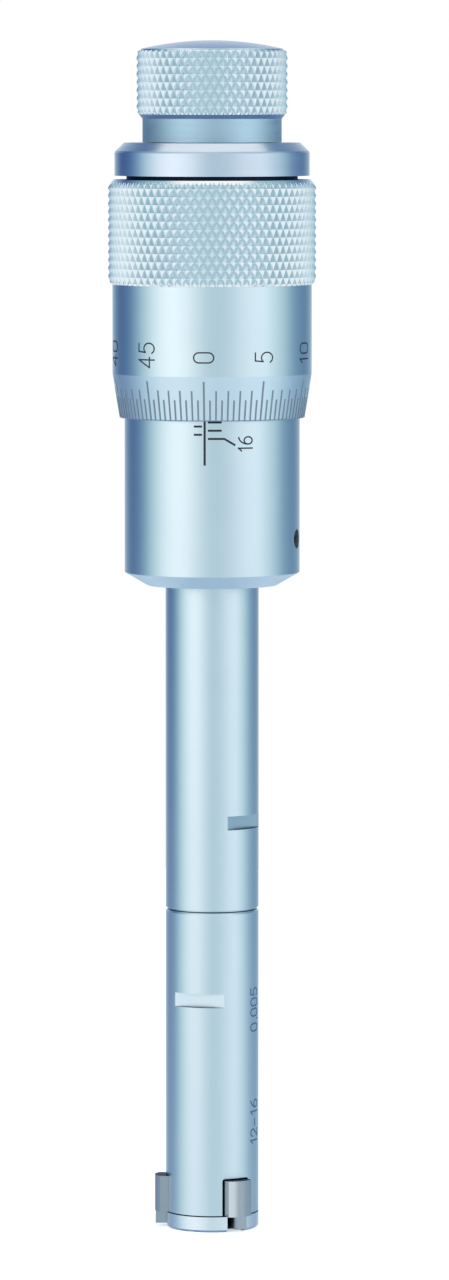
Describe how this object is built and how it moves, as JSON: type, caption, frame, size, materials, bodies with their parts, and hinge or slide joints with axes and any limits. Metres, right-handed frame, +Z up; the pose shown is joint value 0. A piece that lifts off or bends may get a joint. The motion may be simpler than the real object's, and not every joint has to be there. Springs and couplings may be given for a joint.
{
  "type": "inside micrometer",
  "caption": "Three-point inside micrometer: knurled force-limiting knob and thimble, graduated sleeve, round shank and measuring head with spread anvils.",
  "frame": {"origin": "centre of the end cap's flat foot, on the instrument's axis", "axes": "+Z up the axis from the measuring end to the knob; the sleeve's datum line faces -Y"},
  "size_m": [0.0254, 0.0254, 0.1463],
  "materials": {
    "satin_chrome": "satin",
    "knurled_chrome": "knurled satin",
    "ground_steel": "ground",
    "anvil_steel": "ground",
    "spring_steel": "drawn wire",
    "black_steel": "black oxide",
    "bronze": "turned"
  },
  "bodies": {
    "frame": {"end_cap": "satin_chrome", "cap_screws": "black_steel", "head_body": "satin_chrome", "anvil_ring_spring": "spring_steel", "lower_guide_bush": "bronze", "upper_guide_bush": "bronze", "return_spring": "spring_steel", "upper_tube": "satin_chrome", "sleeve": "satin_chrome", "sleeve_set_screw": "black_steel", "nut_body": "ground_steel", "adjusting_nut": "ground_steel"},
    "plunger": {"measuring_cone": "ground_steel", "push_rod": "ground_steel", "thrust_ball": "ground_steel"},
    "thimble": {"spindle": "ground_steel", "thimble": "satin_chrome", "knurled_ring": "knurled_chrome", "thimble_collar": "satin_chrome", "friction_disc": "ground_steel", "knob_axle_screw": "black_steel", "knob_spring": "spring_steel"},
    "knob": {"ratchet_knob": "knurled_chrome", "knob_cap": "satin_chrome", "thrust_washer": "ground_steel"},
    "anvil_1": {"anvil_1": "anvil_steel"},
    "anvil_2": {"anvil_2": "anvil_steel"},
    "anvil_3": {"anvil_3": "anvil_steel"}
  },
  "joints": [
    {"name": "thimble_spin", "type": "hinge", "parent": "plunger", "child": "thimble", "pos_m": [0, 0, 0.11], "axis": [0, 0, 1], "range_deg": [-1440, 1440]},
    {"name": "plunger_feed", "type": "slide", "parent": "frame", "child": "plunger", "axis": [0, 0, 1], "range_m": [-0.002, 0.002], "deforming": ["return_spring"]},
    {"name": "knob_spin", "type": "hinge", "parent": "thimble", "child": "knob", "pos_m": [0, 0, 0.137], "axis": [0, 0, 1], "continuous": true},
    {"name": "anvil_1_slide", "type": "slide", "parent": "frame", "child": "anvil_1", "axis": [0.592, -0.8059, 0], "range_m": [-0.001, 0.001], "deforming": ["anvil_ring_spring"]},
    {"name": "anvil_2_slide", "type": "slide", "parent": "frame", "child": "anvil_2", "axis": [0.4019, 0.9157, 0], "range_m": [-0.001, 0.001]},
    {"name": "anvil_3_slide", "type": "slide", "parent": "frame", "child": "anvil_3", "axis": [-0.994, -0.1097, 0], "range_m": [-0.001, 0.001]}
  ],
  "couplings": [
    {"joint": "thimble_spin", "follows": "plunger_feed", "rad_per_m": 12566},
    {"joint": "anvil_1_slide", "follows": "plunger_feed", "ratio": -0.5},
    {"joint": "anvil_2_slide", "follows": "plunger_feed", "ratio": -0.5},
    {"joint": "anvil_3_slide", "follows": "plunger_feed", "ratio": -0.5}
  ]
}
